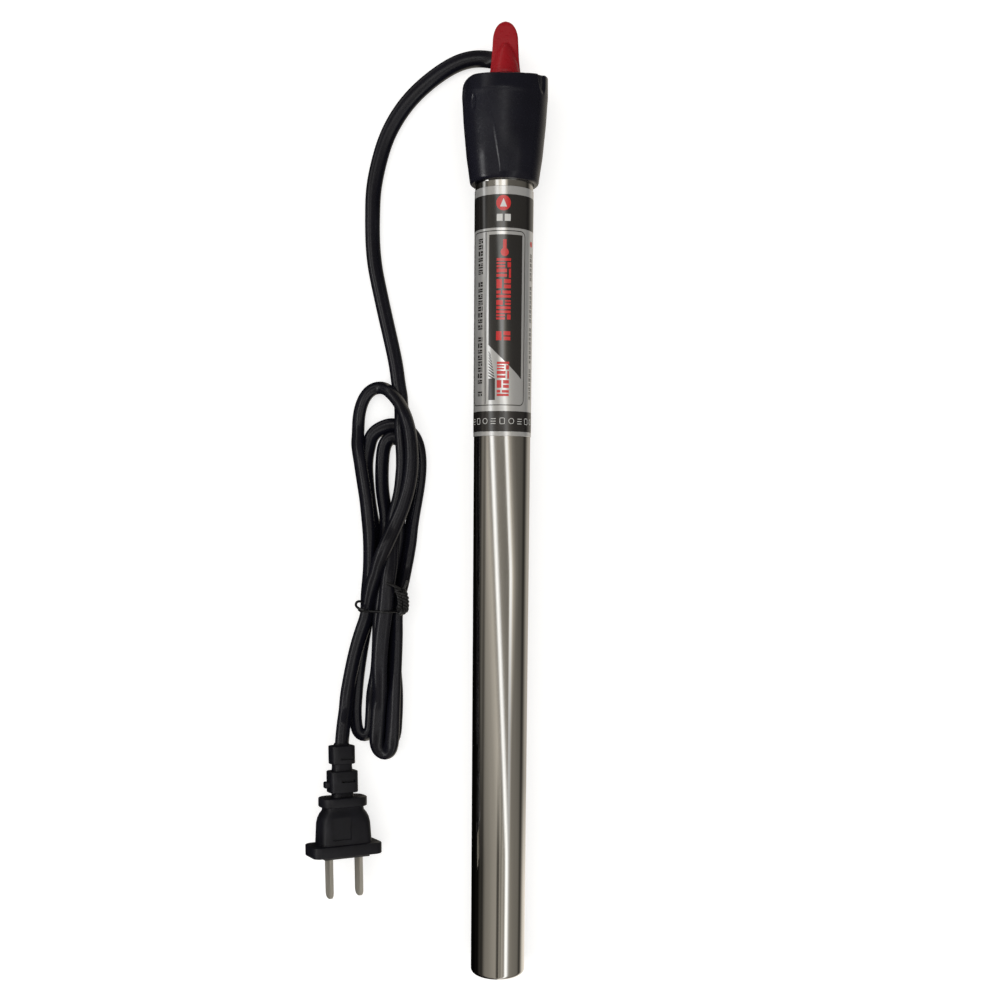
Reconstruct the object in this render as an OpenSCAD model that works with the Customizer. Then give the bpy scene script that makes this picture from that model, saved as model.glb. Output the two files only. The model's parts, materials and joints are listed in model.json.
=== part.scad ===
// Submersible aquarium heater with its cord folded into a hank.
// The heater lies on the plane z = 0 with its tube along +Y and its head towards +Y.
// Heater parts are drawn upright in a frame of their own: z runs along the tube from its closed
// end, -y is the side that faces up when the heater lies down. lay() puts them in place.
// Plug parts are drawn with z from the cord's entry to the blades. lay_plug() puts them in place.

/* [Tube] */
// Outer radius of the stainless tube
tube_r = 11; // [11:0.05:11.5]
// Wall of the tube
tube_wall = 0.6; // [0.4:0.1:0.7]
// Corner radius at the closed end
tube_corner = 2.5; // [1.5:0.1:3]
// Bottom of the label, from the closed end
label_from = 217; // [215:1:225]
// Top of the label, from the closed end
label_to = 308.5; // [300:0.5:309]
// Height of the label's face above the bare tube
label_proud = 0.2; // [0.1:0.05:0.4]

/* [Head] */
// Bottom rim of the head cap, from the closed end
head_from = 311; // [309:0.5:313]
// Height of the head cap
head_h = 38; // [37:0.5:39]
// Largest radius of the head cap
head_r = 16.15; // [16:0.05:16.6]
// Radius of the head cap at its bottom rim
head_rim_r = 13.1; // [12.8:0.1:14]

/* [Knob] */
// Height of the knob above the head
knob_h = 20.5; // [18:0.5:22]
// Width of the knob's fin at its foot
knob_w = 11.4; // [10:0.1:11.5]
// Thickness of the knob's fin
knob_fin = 3.4; // [3:0.1:4]

/* [Cord and plug] */
// Diameter of the cord
cord_d = 5.4; // [5:0.1:5.6]
// Height of the folded hank
hank_h = 16; // [14:0.5:18]
// Distance between the blades
blade_gap = 12.7; // [12.7:0.1:12.8]
// Length of the blades
blade_l = 16.5; // [15:0.5:18]

/* [Thermostat] */
// Thickness of the bimetal strip
bimetal_t = 0.8; // [0.6:0.1:0.8]
// Length of the bimetal strip
bimetal_l = 52; // [50:1:52]
// Turns of the heating coil
coil_turns = 24; // [16:1:26]

/* [Hidden] */
$fn = 64;
eps = 0.01;

// where the heater lies
widest_s = head_from + 0.87 * head_h;
tilt = asin((head_r - tube_r) / (widest_s - tube_corner));
axis_z = tube_r * cos(tilt) - tube_corner * sin(tilt);
overall_l = head_from + head_h + knob_h;
axis_y = -overall_l * cos(tilt) / 2;

// tube and label
tube_top = head_from + 23;
label_seat = 0.2;
label_r = tube_r + label_proud;
bore_r = tube_r - tube_wall;

// head
head_to = head_from + head_h;
plug_flange_top = tube_top + 2.5;
pocket_top = plug_flange_top + 5;
pocket_r = 12.2;
spindle_r = 2.4;
running = 0.05;
o_ring_seat_r = 3.9;
o_ring_seat_top = pocket_top + 3.5;
panel_proud = 0.35;

// cord exit in the head, in the heater's own frame
exit_x = 5;
exit_y = 8.8;
gland_r = 3.9;
gland_boss = 5;
cord_r = cord_d / 2;

// seal plug
seal_from = tube_top - 16;
wire_r = 1.0;
wire_x = 4.2;
wire_y = 7;

// thermostat frame
frame_from = 212;
frame_to = 312.5;
frame_disc_r = 9.8;
rail_w = 9.2;
back_rail_y = 7.2;
front_rail_y = -4.2;
rail_t = 1.2;
nut_r = 2.9;
shank_r = 1.5;
lead_notch_x = 7.7;
notch_y = 1.6;
notch_r = 1.9;

// contact rocker: it turns about a pin across the frame
pivot_y = 5;
pivot_s = 301;
pin_r = 1;
rocker_w = 5;
rocker_leg_l = 22;
tab_t = 1;
screw_gap = 0.25;
screw_tip_s = pivot_s + tab_t + screw_gap;
contact_r = 1.4;
contact_t = 0.7;
contact_s = 281.5;

// bimetal strip: it bends about its foot's edge
bimetal_y = 1.4;
bimetal_s = 232;
foot_from = 218;

// heater core
core_r = 5;
core_from = 10.5;
core_to = 203;
coil_wire_r = 0.65;
coil_r = core_r + coil_wire_r + 0.1;
coil_from = 20;
coil_to = 188;
coil_steps = 14;
sand_bore_r = 7.9;
splice_x = -6.55;

// plug: its place, heading and sections
plug_at = [-64, -91, 9.3];
plug_yaw = 1.3;
plug_pitch = 4;
plug_roll = -27;
relief_l = 21;
collar_l = 3.7;
plug_body_l = 15;
flange_l = 5.8;
plug_l = relief_l + collar_l + plug_body_l + flange_l;
flange_size = [26.8, 15.5];
blade_size = [6.3, 1.5];

// the cord's free stretches, from the gland to the hank and from the hank to the plug
LEAD = [
    [5, 157, 7.5], [4.4, 162, 7.6], [3.4, 166.6, 7.6], [1, 171.4, 7.6], [-3.2, 175.1, 7.5],
    [-9, 176.4, 7.2], [-15, 175.7, 6.6], [-20.5, 173.6, 6], [-27.5, 169.2, 5], [-35, 162.8, 4],
    [-41, 155.5, 3.4], [-45.7, 147, 3], [-48.8, 137.5, 2.9], [-50.8, 127.5, 2.9],
    [-51.3, 117, 2.9], [-51.2, 107, 2.9], [-50.3, 98, 2.9], [-48.5, 89, 3],
    [-46.4, 79.5, 3.6], [-44.2, 70, 4.9], [-42.3, 61, 6.6], [-41, 51.5, 8.4]
];
TAIL = [
    [-54.3, -40.5, 11.6], [-56, -45.5, 10.6], [-58, -52.5, 9.6], [-59.7, -60, 8.8],
    [-61.4, -69, 8.5], [-62.6, -78, 8.6], [-63.5, -86, 8.9], [-64, -92, 9.2]
];

// the hank seen from above: [x, y, radius] of the discs that its outline wraps
HANK_TOP = [[-45.3, 27, 15], [-49, 43, 11.3], [-48, -36, 8.2]];
HANK_FOOT = [[-48, -36, 8.2], [-50.4, -72, 10], [-49, -88.2, 7.9]];
tie_at = [-48, -36.5];
hank_z = 0.9;

// colours
BLACK = "#202024";
STEEL = "#9a968c";
BRASS = "#b9964a";
SILVER = "#c8c8c4";
WHITE = "#e6e2d8";
RED = "#a01c22";
BROWN = "#6b4226";
BLUE = "#2c5a9a";

// ---------------------------------------------------------------- placing

module lay() {
    translate([0, axis_y, axis_z]) rotate([tilt - 90, 0, 0]) children();
}

module lay_plug() {
    translate(plug_at) rotate([0, 0, plug_yaw]) rotate([90 - plug_pitch, 0, 0])
        rotate([0, 0, plug_roll]) children();
}

// a disc of the tube's axis between two heights
module disc(r, from, to) {
    translate([0, 0, from]) cylinder(r = r, h = to - from);
}

// a block given by its low and high corners
module block(low, high) {
    translate(low) cube(high - low);
}

// a cylinder along x, centred on x = 0
module bar_x(r, l, y, z) {
    translate([-l / 2, y, z]) rotate([0, 90, 0]) cylinder(r = r, h = l);
}

// a cylinder along y from one height to another
module bar_y(r, x, from, to, z) {
    translate([x, to, z]) rotate([90, 0, 0]) cylinder(r = r, h = to - from);
}

// ---------------------------------------------------------------- sweeping

function unit(v) = v / norm(v);
function flat(v, t) = unit(v - (v * t) * t);
function tangents(p) = [
    for (i = [0 : len(p) - 1]) unit(p[min(i + 1, len(p) - 1)] - p[max(i - 1, 0)])
];
function normals(t, first) = [
    for (i = 0, n = flat(first, t[0]); i < len(t);
        n = flat(n, t[min(i + 1, len(t) - 1)]), i = i + 1) n
];
// a round tube along a list of points
module sweep(path, r, sides, first) {
    t = tangents(path);
    n = normals(t, first);
    ring = [for (k = [0 : sides - 1]) 360 * k / sides];
    points = [
        for (i = [0 : len(path) - 1]) for (a = ring)
            path[i] + r * (cos(a) * n[i] + sin(a) * cross(t[i], n[i]))
    ];
    last = (len(path) - 1) * sides;
    faces = concat(
        [[for (k = [0 : sides - 1]) k]],
        [for (i = [0 : len(path) - 2]) for (k = [0 : sides - 1]) let (
            a = i * sides + k,
            b = i * sides + (k + 1) % sides
        ) [a, a + sides, b + sides, b]],
        [[for (k = [sides - 1 : -1 : 0]) last + k]]
    );
    polyhedron(points, faces, convexity = 6);
}

// an insulated wire inside the tube
module wire(path, r = wire_r) {
    sweep(path, r, 8, [0, 1, 0.01]);
}

// ---------------------------------------------------------------- tube and label

module sheath_tube() {
    color(STEEL) lay() difference() {
        rotate_extrude() union() {
            square([tube_r - tube_corner, tube_top]);
            translate([0, tube_corner]) square([tube_r, label_from - tube_corner]);
            translate([0, label_from]) square([tube_r - label_seat, label_to - label_from]);
            translate([0, label_to]) square([tube_r, tube_top - label_to]);
            translate([tube_r - tube_corner, tube_corner]) circle(r = tube_corner);
        }
        disc(bore_r - 1.9, 0.8, 3);
        disc(bore_r, 2.5, tube_top + 1);
    }
}

module label_sleeve() {
    color(SILVER) lay() difference() {
        disc(label_r, label_from, label_to);
        disc(tube_r - label_seat, label_from - 1, label_to + 1);
    }
}

// ---------------------------------------------------------------- head

// the outline of the head cap, from the axis outwards
module head_outline() {
    polygon([
        [0, head_from], [head_rim_r - 0.8, head_from], [head_rim_r, head_from + 1],
        [head_r - 1.75, head_from + 10], [head_r - 0.6, head_from + 22],
        [head_r, widest_s], [head_r - 0.25, head_to - 2], [head_r - 0.8, head_to - 0.7],
        [head_r - 1.8, head_to], [0, head_to]
    ]);
}

// the thick front panel: a slice of a slightly wider cap
module front_panel() {
    intersection() {
        translate([0, -panel_proud, 0]) rotate_extrude() head_outline();
        block([-2.6, -20, head_from + 2], [7.5, -8, head_from + 20]);
    }
}

module head_cap() {
    color(BLACK) lay() difference() {
        union() {
            rotate_extrude() head_outline();
            front_panel();
        }
        disc(tube_r, head_from - 1, plug_flange_top);
        disc(pocket_r, plug_flange_top - eps, pocket_top);
        disc(o_ring_seat_r, pocket_top - eps, o_ring_seat_top);
        disc(spindle_r + running, o_ring_seat_top - eps, head_to + 1);
        translate([exit_x, exit_y, 0]) disc(gland_r, pocket_top - eps, head_to + 1);
    }
}

module seal_plug() {
    color(BLACK) lay() difference() {
        union() {
            disc(bore_r - running, seal_from, tube_top);
            disc(tube_r, tube_top, plug_flange_top);
        }
        disc(spindle_r + running, seal_from - 1, plug_flange_top + 1);
        for (side = [-1, 1])
            translate([side * wire_x, wire_y, 0])
                disc(wire_r + running, seal_from - 1, plug_flange_top + 1);
    }
}

module cord_gland() {
    color(BLACK) lay() translate([exit_x, exit_y, 0]) difference() {
        union() {
            disc(gland_r, pocket_top, head_to);
            translate([0, 0, head_to])
                cylinder(r1 = gland_r, r2 = cord_r + 0.5, h = gland_boss);
        }
        disc(cord_r, pocket_top - 1, head_to + gland_boss + 1);
    }
}

// ---------------------------------------------------------------- knob and adjusting screw

// the fin's outline from the front: straight flanks and a round tip
module fin_outline() {
    tip_r = knob_w * 0.36;
    foot_w = knob_w - 0.6;
    top = head_to + knob_h;
    hull() {
        translate([0, top - tip_r]) circle(r = tip_r, $fn = 32);
        translate([-foot_w / 2, head_to + 1]) square([foot_w, 4]);
    }
}

module temperature_knob() {
    color(RED) lay() difference() {
        union() {
            disc(knob_w / 2, head_to + 0.3, head_to + 2.5);
            rotate([90, 0, 0]) translate([0, 0, -knob_fin / 2])
                linear_extrude(knob_fin) fin_outline();
            translate([0, 0, head_to + 2]) cylinder(r1 = knob_w * 0.44, r2 = 1.9, h = 11);
        }
        disc(spindle_r, head_to - 1, head_to + 7);
    }
}

module knob_spindle() {
    color(BRASS) lay() difference() {
        disc(spindle_r, screw_tip_s + 12, head_to + 7);
        block([-0.6, -spindle_r - 1, screw_tip_s + 11], [0.6, spindle_r + 1, screw_tip_s + 19]);
    }
}

module spindle_o_ring() {
    color(BLACK) lay() translate([0, 0, pocket_top + 1.6]) rotate_extrude()
        translate([spindle_r + 0.73, 0]) circle(r = 0.7, $fn = 24);
}

module spindle_clip() {
    color(STEEL) lay() difference() {
        disc(3.8, seal_from - 1.3, seal_from - 0.6);
        disc(spindle_r, seal_from - 2, seal_from);
        block([-1, 0, seal_from - 2], [1, 5, seal_from]);
    }
}

module adjusting_screw() {
    color(BRASS) lay() {
        disc(shank_r, screw_tip_s + shank_r, screw_tip_s + 11.5);
        translate([0, 0, screw_tip_s + shank_r]) sphere(r = shank_r);
        block([-0.5, -1.2, screw_tip_s + 11.5], [0.5, 1.2, screw_tip_s + 17.5]);
    }
}

module adjusting_nut() {
    color(BRASS) lay() difference() {
        disc(nut_r, frame_to - 4, frame_to);
        disc(shank_r + running, frame_to - 5, frame_to + 1);
    }
}

// ---------------------------------------------------------------- thermostat

module frame_ears() {
    for (side = [-1, 1]) {
        near = rocker_w / 2 + 0.2;
        low = side > 0 ? near : -rail_w / 2;
        block([low, pivot_y - 2.5, pivot_s - 2.5],
            [low + rail_w / 2 - near, back_rail_y + eps, pivot_s + 2.5]);
    }
}

module thermostat_frame() {
    color(WHITE) lay() difference() {
        union() {
            disc(frame_disc_r, frame_from, frame_from + 3);
            disc(frame_disc_r, frame_to - 3, frame_to);
            block([-rail_w / 2, back_rail_y, frame_from], [rail_w / 2, back_rail_y + 1.6, frame_to]);
            block([-rail_w / 2, front_rail_y, frame_from],
                [rail_w / 2, front_rail_y + rail_t, frame_to]);
            block([-3, bimetal_y + bimetal_t / 2, foot_from], [3, back_rail_y + eps, bimetal_s - 1]);
            frame_ears();
        }
        disc(nut_r, frame_to - 5, frame_to + 1);
        bar_x(pin_r, rail_w + 2, pivot_y, pivot_s);
        for (side = [-1, 1]) translate([side * lead_notch_x, notch_y, 0])
            disc(notch_r, frame_from - 1, frame_to + 1);
        translate([0, -6.1, 0]) disc(1.4, frame_from - 1, frame_from + 4);
        for (s = [foot_from + 3.5, foot_from + 9.5]) bar_y(0.9, 0, 1, back_rail_y + 2, s);
    }
}

module contact_rocker() {
    color(BRASS) lay() difference() {
        union() {
            bar_x(2, rocker_w, pivot_y, pivot_s);
            block([-rocker_w / 2, -1.5, pivot_s], [rocker_w / 2, pivot_y, pivot_s + tab_t]);
            block([-2, pivot_y - 0.5, pivot_s - rocker_leg_l], [2, pivot_y + 0.5, pivot_s]);
        }
        bar_x(pin_r + running, rocker_w + 2, pivot_y, pivot_s);
    }
}

module rocker_contact() {
    color(SILVER) lay()
        bar_y(contact_r, 0, pivot_y - 0.5 - contact_t, pivot_y - 0.5, contact_s);
}

module rocker_pin() {
    color(STEEL) lay() bar_x(pin_r, rail_w, pivot_y, pivot_s);
}

// a leaf spring behind the rocker's leg, held on the back rail
module rocker_spring() {
    color(STEEL) lay() {
        block([-2, back_rail_y - 0.4, 262], [2, back_rail_y, 276]);
        block([-2, back_rail_y - 0.8, 275], [2, back_rail_y - 0.4, 292]);
    }
}

module bimetal_foot() {
    half = bimetal_t / 2;
    color(STEEL) lay() difference() {
        block([-2.5, bimetal_y - half, foot_from], [2.5, bimetal_y + half, bimetal_s - 0.5]);
        for (s = [foot_from + 3.5, foot_from + 9.5]) bar_y(0.9, 0, 0, 4, s);
    }
}

module bimetal_strip() {
    half = bimetal_t / 2;
    color("#a8a08c") lay() {
        bar_x(half, 5, bimetal_y, bimetal_s);
        block([-2.5, bimetal_y - half, bimetal_s], [2.5, bimetal_y + half, bimetal_s + bimetal_l]);
    }
}

module bimetal_contact() {
    face = bimetal_y + bimetal_t / 2;
    color(SILVER) lay() bar_y(contact_r, 0, face, face + contact_t, contact_s);
}

module armature_plate() {
    face = bimetal_y - bimetal_t / 2;
    color(STEEL) lay() block([-2, face - 0.6, 271], [2, face, 278]);
}

module snap_magnet() {
    face = front_rail_y + rail_t;
    color("#4a4a50") lay() block([-2, face, 271.5], [2, face + 0.8, 277.5]);
}

// two rivets through the bimetal's foot and the frame
module frame_rivets() {
    face = bimetal_y - bimetal_t / 2;
    color(BRASS) lay() for (s = [foot_from + 3.5, foot_from + 9.5]) {
        bar_y(0.9, 0, face, back_rail_y + 1.6, s);
        bar_y(1.5, 0, face - 0.5, face, s);
    }
}

module neon_lamp() {
    color("#d87838") lay() translate([0, front_rail_y - 2.6, 0]) {
        disc(2.6, 284, 296);
        translate([0, 0, 296]) sphere(r = 2.6);
    }
}

module lamp_resistor() {
    color("#c8a878") lay() translate([0, front_rail_y - 1.2, 0]) disc(1.2, 270, 277);
}

module noise_capacitor() {
    color("#b84838") lay() block([-4.5, front_rail_y - 4, 242], [4.5, front_rail_y, 260]);
}

module thermal_fuse() {
    color(WHITE) lay() translate([0, -6.1, 0]) disc(1.9, 217, 229);
}

// ---------------------------------------------------------------- heating element

module heater_core() {
    color(WHITE) lay() difference() {
        disc(core_r, core_from, core_to);
        disc(1, core_from - 1, core_to + 1);
        block([0, -1.1, core_from - 1], [core_r + 1, 1.1, core_from + 7]);
    }
}

// down the core's bore, out at its foot, up round it and off to the splice
coil_path = concat(
    [for (s = [208, 170, 130, 90, 50, 18]) [0, 0, s]],
    [[0.5, 0, 15], [2.4, 0, 13.6], [4.6, 0, 14], [coil_r, 0, 16]],
    [for (i = [0 : coil_turns * coil_steps]) let (a = 360 * i / coil_steps)
        [coil_r * cos(a), coil_r * sin(a), coil_from + (coil_to - coil_from) * i
            / (coil_turns * coil_steps)]],
    [for (i = [1 : 6]) let (a = 30 * i) [(coil_r + i * 0.05) * cos(a),
        (coil_r + i * 0.05) * sin(a), coil_to + i * 0.7]],
    [[splice_x, 0, 194.6], [splice_x, 0, 197]]
);

module heating_coil() {
    color("#8a8078") lay() sweep(coil_path, coil_wire_r, 6, [0.1, 1, 0.02]);
}

module sand_fill() {
    color("#d8cdb0") lay() difference() {
        disc(bore_r - running, core_from, core_to);
        disc(sand_bore_r, core_from - 1, core_to + 1);
    }
}

module lower_spacer() {
    color(WHITE) lay() disc(bore_r - running, core_from - 2.5, core_from);
}

module upper_spacer() {
    color(WHITE) lay() difference() {
        disc(bore_r - running, core_to, core_to + 2.5);
        disc(1.2, core_to - 1, core_to + 3);
        translate([splice_x, 0, 0]) disc(wire_r + 0.1, core_to - 1, core_to + 3);
    }
}

module mica_barrier() {
    color("#c9b27a") lay() difference() {
        disc(bore_r - running, core_to + 2.5, core_to + 3.3);
        disc(1.2, core_to, core_to + 5);
        translate([splice_x, 0, 0]) disc(wire_r + 0.1, core_to, core_to + 5);
    }
}

module bottom_pad() {
    color("#efeee8") lay() disc(bore_r - running, 3.1, core_from - 2.5);
}

// ---------------------------------------------------------------- wiring

module live_wire() {
    color(BROWN) lay() wire([
        [6, 8.8, 341.2], [5.7, 8.5, 340], [4.6, 7.4, 338.4], [wire_x, wire_y, 337],
        [wire_x, wire_y, 326], [wire_x, wire_y, 317.6], [5.6, 5.6, 315.4],
        [lead_notch_x, 1.8, 313.6], [lead_notch_x, notch_y, 311], [lead_notch_x, notch_y, 280],
        [lead_notch_x, notch_y, 240], [7.2, 1.2, 233], [5.8, 0.6, 227.6], [4.4, 0.6, 225],
        [2.6, 0.6, 225]
    ]);
}

module neutral_wire() {
    color(BLUE) lay() wire([
        [3.4, 8.8, 341.2], [2.6, 8.6, 340.2], [-0.6, 8, 339.4], [-3.4, 7.2, 338.6],
        [-wire_x, wire_y, 337], [-wire_x, wire_y, 326], [-wire_x, wire_y, 317.6],
        [-5.6, 5.6, 315.4], [-lead_notch_x, 1.8, 313.6], [-lead_notch_x, notch_y, 311],
        [-lead_notch_x, notch_y, 270], [-lead_notch_x, notch_y, 216],
        [-lead_notch_x, notch_y, 211.5],
        [-7.2, 0.8, 209], [splice_x, 0, 207], [splice_x, 0, 203], [splice_x, 0, 197]
    ]);
}

// from the coil's return wire to the fuse
module fuse_lead() {
    color(WHITE) lay() wire([
        [0, 0, 208.1], [0, 0, 209], [0, -1.2, 210], [0, -3, 210.4], [0, -5.4, 211.2], [0, -6.1, 213],
        [0, -6.1, 217]
    ], 0.8);
}

// from the fuse to the rocker's ear on the frame
module rocker_lead() {
    color(WHITE) lay() wire([
        [0, -6.1, 229], [0.6, -6.3, 232], [3, -6.2, 235.4], [5.6, -4.6, 238.6], [6.3, -3, 243],
        [6.3, -3, 262], [6.3, -3, 290], [6.1, -1.6, 295.4], [5.8, 1.4, 299],
        [5.9, 4.6, 301], [rail_w / 2 + 0.1, 4.6, 301]
    ], 0.7);
}

module wire_crimps() {
    color(SILVER) lay() {
        difference() {
            translate([splice_x, 0, 0]) disc(1.3, 197.2, 202);
            translate([splice_x, 0, 0]) disc(wire_r, 197, 203);
        }
        difference() {
            translate([6.3, -3, 0]) disc(1.1, 264, 271);
            translate([6.3, -3, 0]) disc(0.7, 263, 272);
        }
    }
}

// ---------------------------------------------------------------- cord

module cord_lead() {
    color(BLACK) sweep(LEAD, cord_r, 12, [0, 0, 1]);
}

module cord_tail() {
    color(BLACK) sweep(TAIL, cord_r, 12, [0, 0, 1]);
}

module hank_outline(discs) {
    hull() for (d = discs) translate([d[0], d[1]]) circle(r = d[2], $fn = 48);
}

module cord_hank() {
    color(BLACK) translate([0, 0, hank_z]) linear_extrude(hank_h) {
        hank_outline(HANK_TOP);
        hank_outline(HANK_FOOT);
    }
}

module twist_tie() {
    w = HANK_TOP[2][2] * 2 + 1;
    color("#101012") translate([tie_at[0], tie_at[1], 0]) difference() {
        block([-w / 2 - 0.7, -0.9, 0.05], [w / 2 + 0.7, 0.9, hank_z + hank_h + 0.9]);
        block([-w / 2, -2, hank_z - 0.1], [w / 2, 2, hank_z + hank_h + 0.1]);
    }
}

// ---------------------------------------------------------------- plug

module rounded(size, r) {
    hull() for (x = [-1, 1]) for (y = [-1, 1])
        translate([x * (size[0] / 2 - r), y * (size[1] / 2 - r)]) circle(r = r, $fn = 32);
}

module slab(size, r, from, to) {
    translate([0, 0, from]) linear_extrude(to - from) rounded(size, r);
}

module plug_strain_relief() {
    color(BLACK) lay_plug() difference() {
        union() {
            slab([9.6, 8], 2, 0, relief_l);
            slab([12.4, 9.4], 2.4, 0, 7.2);
            slab([12.4, 9.4], 2.4, 10.4, 18.6);
        }
        translate([0, 0, -1]) cylinder(r = cord_r, h = 15);
    }
}

module plug_body() {
    flange_from = plug_l - flange_l;
    color(BLACK) lay_plug() difference() {
        union() {
            slab([20.4, 13.6], 5, relief_l, relief_l + collar_l);
            hull() {
                slab([17.6, 11.6], 3.6, relief_l + collar_l - eps, relief_l + collar_l + 0.5);
                slab([22, 13.8], 3.6, flange_from - 0.5, flange_from);
            }
            slab(flange_size, 3, flange_from - eps, plug_l);
        }
        block([-9.5, -4.5, plug_l - 7], [9.5, 4.5, plug_l + 1]);
    }
}

// the hard insert in the plug's face that holds the blades
module plug_bridge() {
    color("#2a2a2e") lay_plug() difference() {
        block([-9.5, -4.5, plug_l - 7], [9.5, 4.5, plug_l]);
        for (side = [-1, 1]) blade(side, plug_l - 5, plug_l + 1);
    }
}

module blade(side, from, to) {
    x = side * blade_gap / 2;
    block([x - blade_size[1] / 2, -blade_size[0] / 2, from],
        [x + blade_size[1] / 2, blade_size[0] / 2, to]);
}

module plug_blades() {
    color(STEEL) lay_plug() for (side = [-1, 1]) {
        blade(side, plug_l - 5, plug_l + blade_l - 2);
        intersection() {
            blade(side, plug_l + blade_l - 2.1, plug_l + blade_l);
            translate([side * blade_gap / 2, 0, plug_l + blade_l - 4.2]) rotate([0, 90, 0])
                cylinder(r = 4.2, h = 4, center = true);
        }
    }
}

sheath_tube();
label_sleeve();
head_cap();
seal_plug();
cord_gland();
temperature_knob();
knob_spindle();
spindle_o_ring();
spindle_clip();
adjusting_screw();
adjusting_nut();
thermostat_frame();
contact_rocker();
rocker_contact();
rocker_pin();
rocker_spring();
bimetal_foot();
bimetal_strip();
bimetal_contact();
armature_plate();
snap_magnet();
frame_rivets();
neon_lamp();
lamp_resistor();
noise_capacitor();
thermal_fuse();
heater_core();
heating_coil();
sand_fill();
lower_spacer();
upper_spacer();
mica_barrier();
bottom_pad();
live_wire();
neutral_wire();
fuse_lead();
rocker_lead();
wire_crimps();
cord_lead();
cord_hank();
cord_tail();
twist_tie();
plug_strain_relief();
plug_body();
plug_bridge();
plug_blades();
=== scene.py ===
import json
import math

import bmesh
import bpy
import numpy as np
from mathutils import Matrix, Vector


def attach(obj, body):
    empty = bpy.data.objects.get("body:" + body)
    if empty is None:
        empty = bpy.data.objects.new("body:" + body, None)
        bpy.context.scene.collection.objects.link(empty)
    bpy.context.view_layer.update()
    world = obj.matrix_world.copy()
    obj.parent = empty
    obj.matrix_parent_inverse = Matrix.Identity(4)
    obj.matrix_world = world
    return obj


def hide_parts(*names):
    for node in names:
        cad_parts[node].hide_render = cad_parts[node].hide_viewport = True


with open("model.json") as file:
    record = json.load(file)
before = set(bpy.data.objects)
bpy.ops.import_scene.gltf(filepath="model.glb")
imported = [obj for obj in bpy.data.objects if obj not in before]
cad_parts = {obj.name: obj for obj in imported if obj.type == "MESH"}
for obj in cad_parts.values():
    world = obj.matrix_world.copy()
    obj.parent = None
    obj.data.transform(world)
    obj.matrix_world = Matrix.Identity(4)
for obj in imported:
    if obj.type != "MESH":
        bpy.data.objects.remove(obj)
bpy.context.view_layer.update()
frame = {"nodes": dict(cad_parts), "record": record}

MM = 0.001

# ------------------------------------------------------------------ places, from the frame

JOINTS = {j["name"]: j for j in frame["record"]["behaviour"]["joints"]}
MOUNTS = {m["name"]: m for m in frame["record"]["mounts"]}

# heights along the tube, in millimetres from its closed end
LABEL = (217, 308.5)
HEAD = (311, 349)
TUBE_TOP = 334
KNOB_TIP = 369.5
TUBE_R = MOUNTS["tube_grip"]["dims"]["r_mm"]
TUBE_CORNER = 1.7
TUBE_WALL = 0.6
LABEL_SEAT = 0.2
LABEL_R = TUBE_R + 0.2

# lengths along the plug, in millimetres from the cord's entry
PLUG_L = 45.5
PLUG_ROLL = -27
BLADE_PITCH = 12.7
BLADE_L = 16.5
BLADE_WIDE = 6.3
BLADE_THICK = 1.5


def basis(x, y, z, origin):
    """The matrix that takes millimetres in a frame of its own to metres in the row frame."""
    turn = Matrix((x, y, z)).transposed().to_4x4()
    return Matrix.Translation(origin) @ turn @ Matrix.Scale(MM, 4)


def heater_frame():
    """z runs along the tube from its closed end, and -y faces up."""
    axis = Vector(JOINTS["knob_turn"]["axis"])
    start = Vector(JOINTS["knob_turn"]["pos_m"]) - axis * HEAD[1] * MM
    side = Vector((1, 0, 0))
    return basis(side, axis.cross(side), axis, start)


def plug_frame():
    """z runs from the cord's entry to the blades, and x points from blade to blade."""
    axis = Vector(MOUNTS["plug_blades"]["axis"]).normalized()
    start = Vector(MOUNTS["plug_blades"]["pos_m"]) - axis * PLUG_L * MM
    level = Vector((-axis.y, axis.x, 0)).normalized()
    side = Matrix.Rotation(math.radians(PLUG_ROLL), 3, axis) @ level
    return basis(side, axis.cross(side), axis, start)


HEATER = heater_frame()
PLUG = plug_frame()

# ------------------------------------------------------------------ camera

EYE = (0, 1, 513.5)  # millimetres
VIEW_TILT = -7
VIEW_ROLL = 0.5
LENS = 45.43
SHIFT_UP = 0.173


def add_camera():
    data = bpy.data.cameras.new("camera")
    data.sensor_width = 36
    data.lens = LENS
    data.shift_y = SHIFT_UP
    data.clip_start = 0.01
    camera = bpy.data.objects.new("camera", data)
    bpy.context.scene.collection.objects.link(camera)
    camera.matrix_world = (
        Matrix.Translation(Vector(EYE) * MM)
        @ Matrix.Rotation(math.radians(VIEW_TILT), 4, "X")
        @ Matrix.Rotation(math.radians(VIEW_ROLL), 4, "Z")
    )
    bpy.context.scene.camera = camera


add_camera()

# ------------------------------------------------------------------ materials

NOISE_SPAN = (0.3, 0.7)  # where most of a noise lies


def noise(tree, vector, scale, detail=3.0):
    n = tree.nodes.new("ShaderNodeTexNoise")
    n.inputs["Scale"].default_value = scale
    n.inputs["Detail"].default_value = detail
    tree.links.new(vector, n.inputs["Vector"])
    return n.outputs["Fac"]


def ramp(tree, value, stops):
    """A colour ramp with stops of (place from 0 to 1, colour)."""
    n = tree.nodes.new("ShaderNodeValToRGB")
    elements = n.color_ramp.elements
    while len(elements) < len(stops):
        elements.new(0.5)
    for element, (place, colour) in zip(elements, stops):
        element.position = place
        element.color = (*colour, 1)
    tree.links.new(value, n.inputs["Fac"])
    return n.outputs["Color"]


def rise(tree, value, start, end, low=0.0, high=1.0):
    """low to high as value goes from start to end."""
    n = tree.nodes.new("ShaderNodeMapRange")
    for socket, number in (
        ("From Min", start), ("From Max", end), ("To Min", low), ("To Max", high)
    ):
        n.inputs[socket].default_value = number
    tree.links.new(value, n.inputs["Value"])
    return n.outputs["Result"]


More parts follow.
